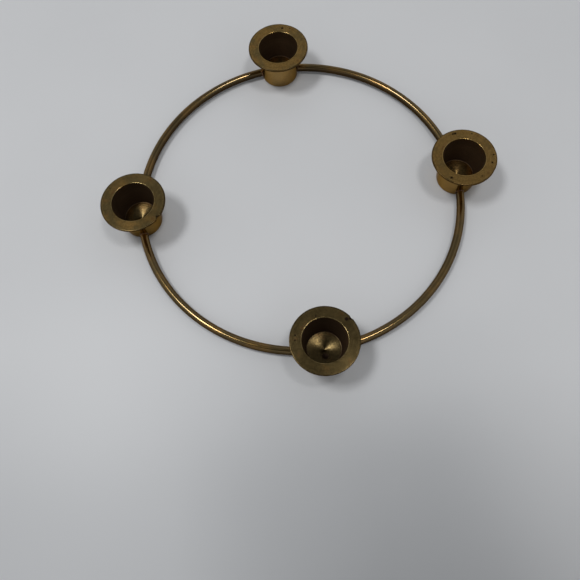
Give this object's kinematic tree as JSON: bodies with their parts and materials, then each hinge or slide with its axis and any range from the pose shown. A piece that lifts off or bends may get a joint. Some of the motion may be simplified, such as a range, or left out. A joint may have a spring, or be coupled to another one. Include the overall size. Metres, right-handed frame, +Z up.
{
  "type": "ring candle holder",
  "caption": "Brass table ring for dinner candles: a round-rod ring with flanged candle cups brazed in at even spacing.",
  "frame": {"origin": "centre of the rod ring on the table plane, level with the undersides of the cups", "axes": "+Z up, out of the candle cups' mouths; the cups stand on the +X (right), +Y (back), -X (left) and -Y (front) axes"},
  "size_m": [0.215, 0.215, 0.022],
  "materials": {
    "cast_brass": "turned cast brass, aged to a brownish olive gold, satin",
    "drawn_brass": "drawn brass rod, aged brown with bright lengthwise streaks",
    "braze": "dark heat-tarnished braze"
  },
  "bodies": {
    "root": {"cup_right": "cast_brass", "cup_back": "cast_brass", "cup_left": "cast_brass", "cup_front": "cast_brass", "rod_right_to_back": "drawn_brass", "rod_back_to_left": "drawn_brass", "rod_left_to_front": "drawn_brass", "rod_front_to_right": "drawn_brass", "braze_right_cup_toward_back": "braze", "braze_right_cup_toward_front": "braze", "braze_back_cup_toward_left": "braze", "braze_back_cup_toward_right": "braze", "braze_left_cup_toward_front": "braze", "braze_left_cup_toward_back": "braze", "braze_front_cup_toward_right": "braze", "braze_front_cup_toward_left": "braze"}
  },
  "joints": []
}
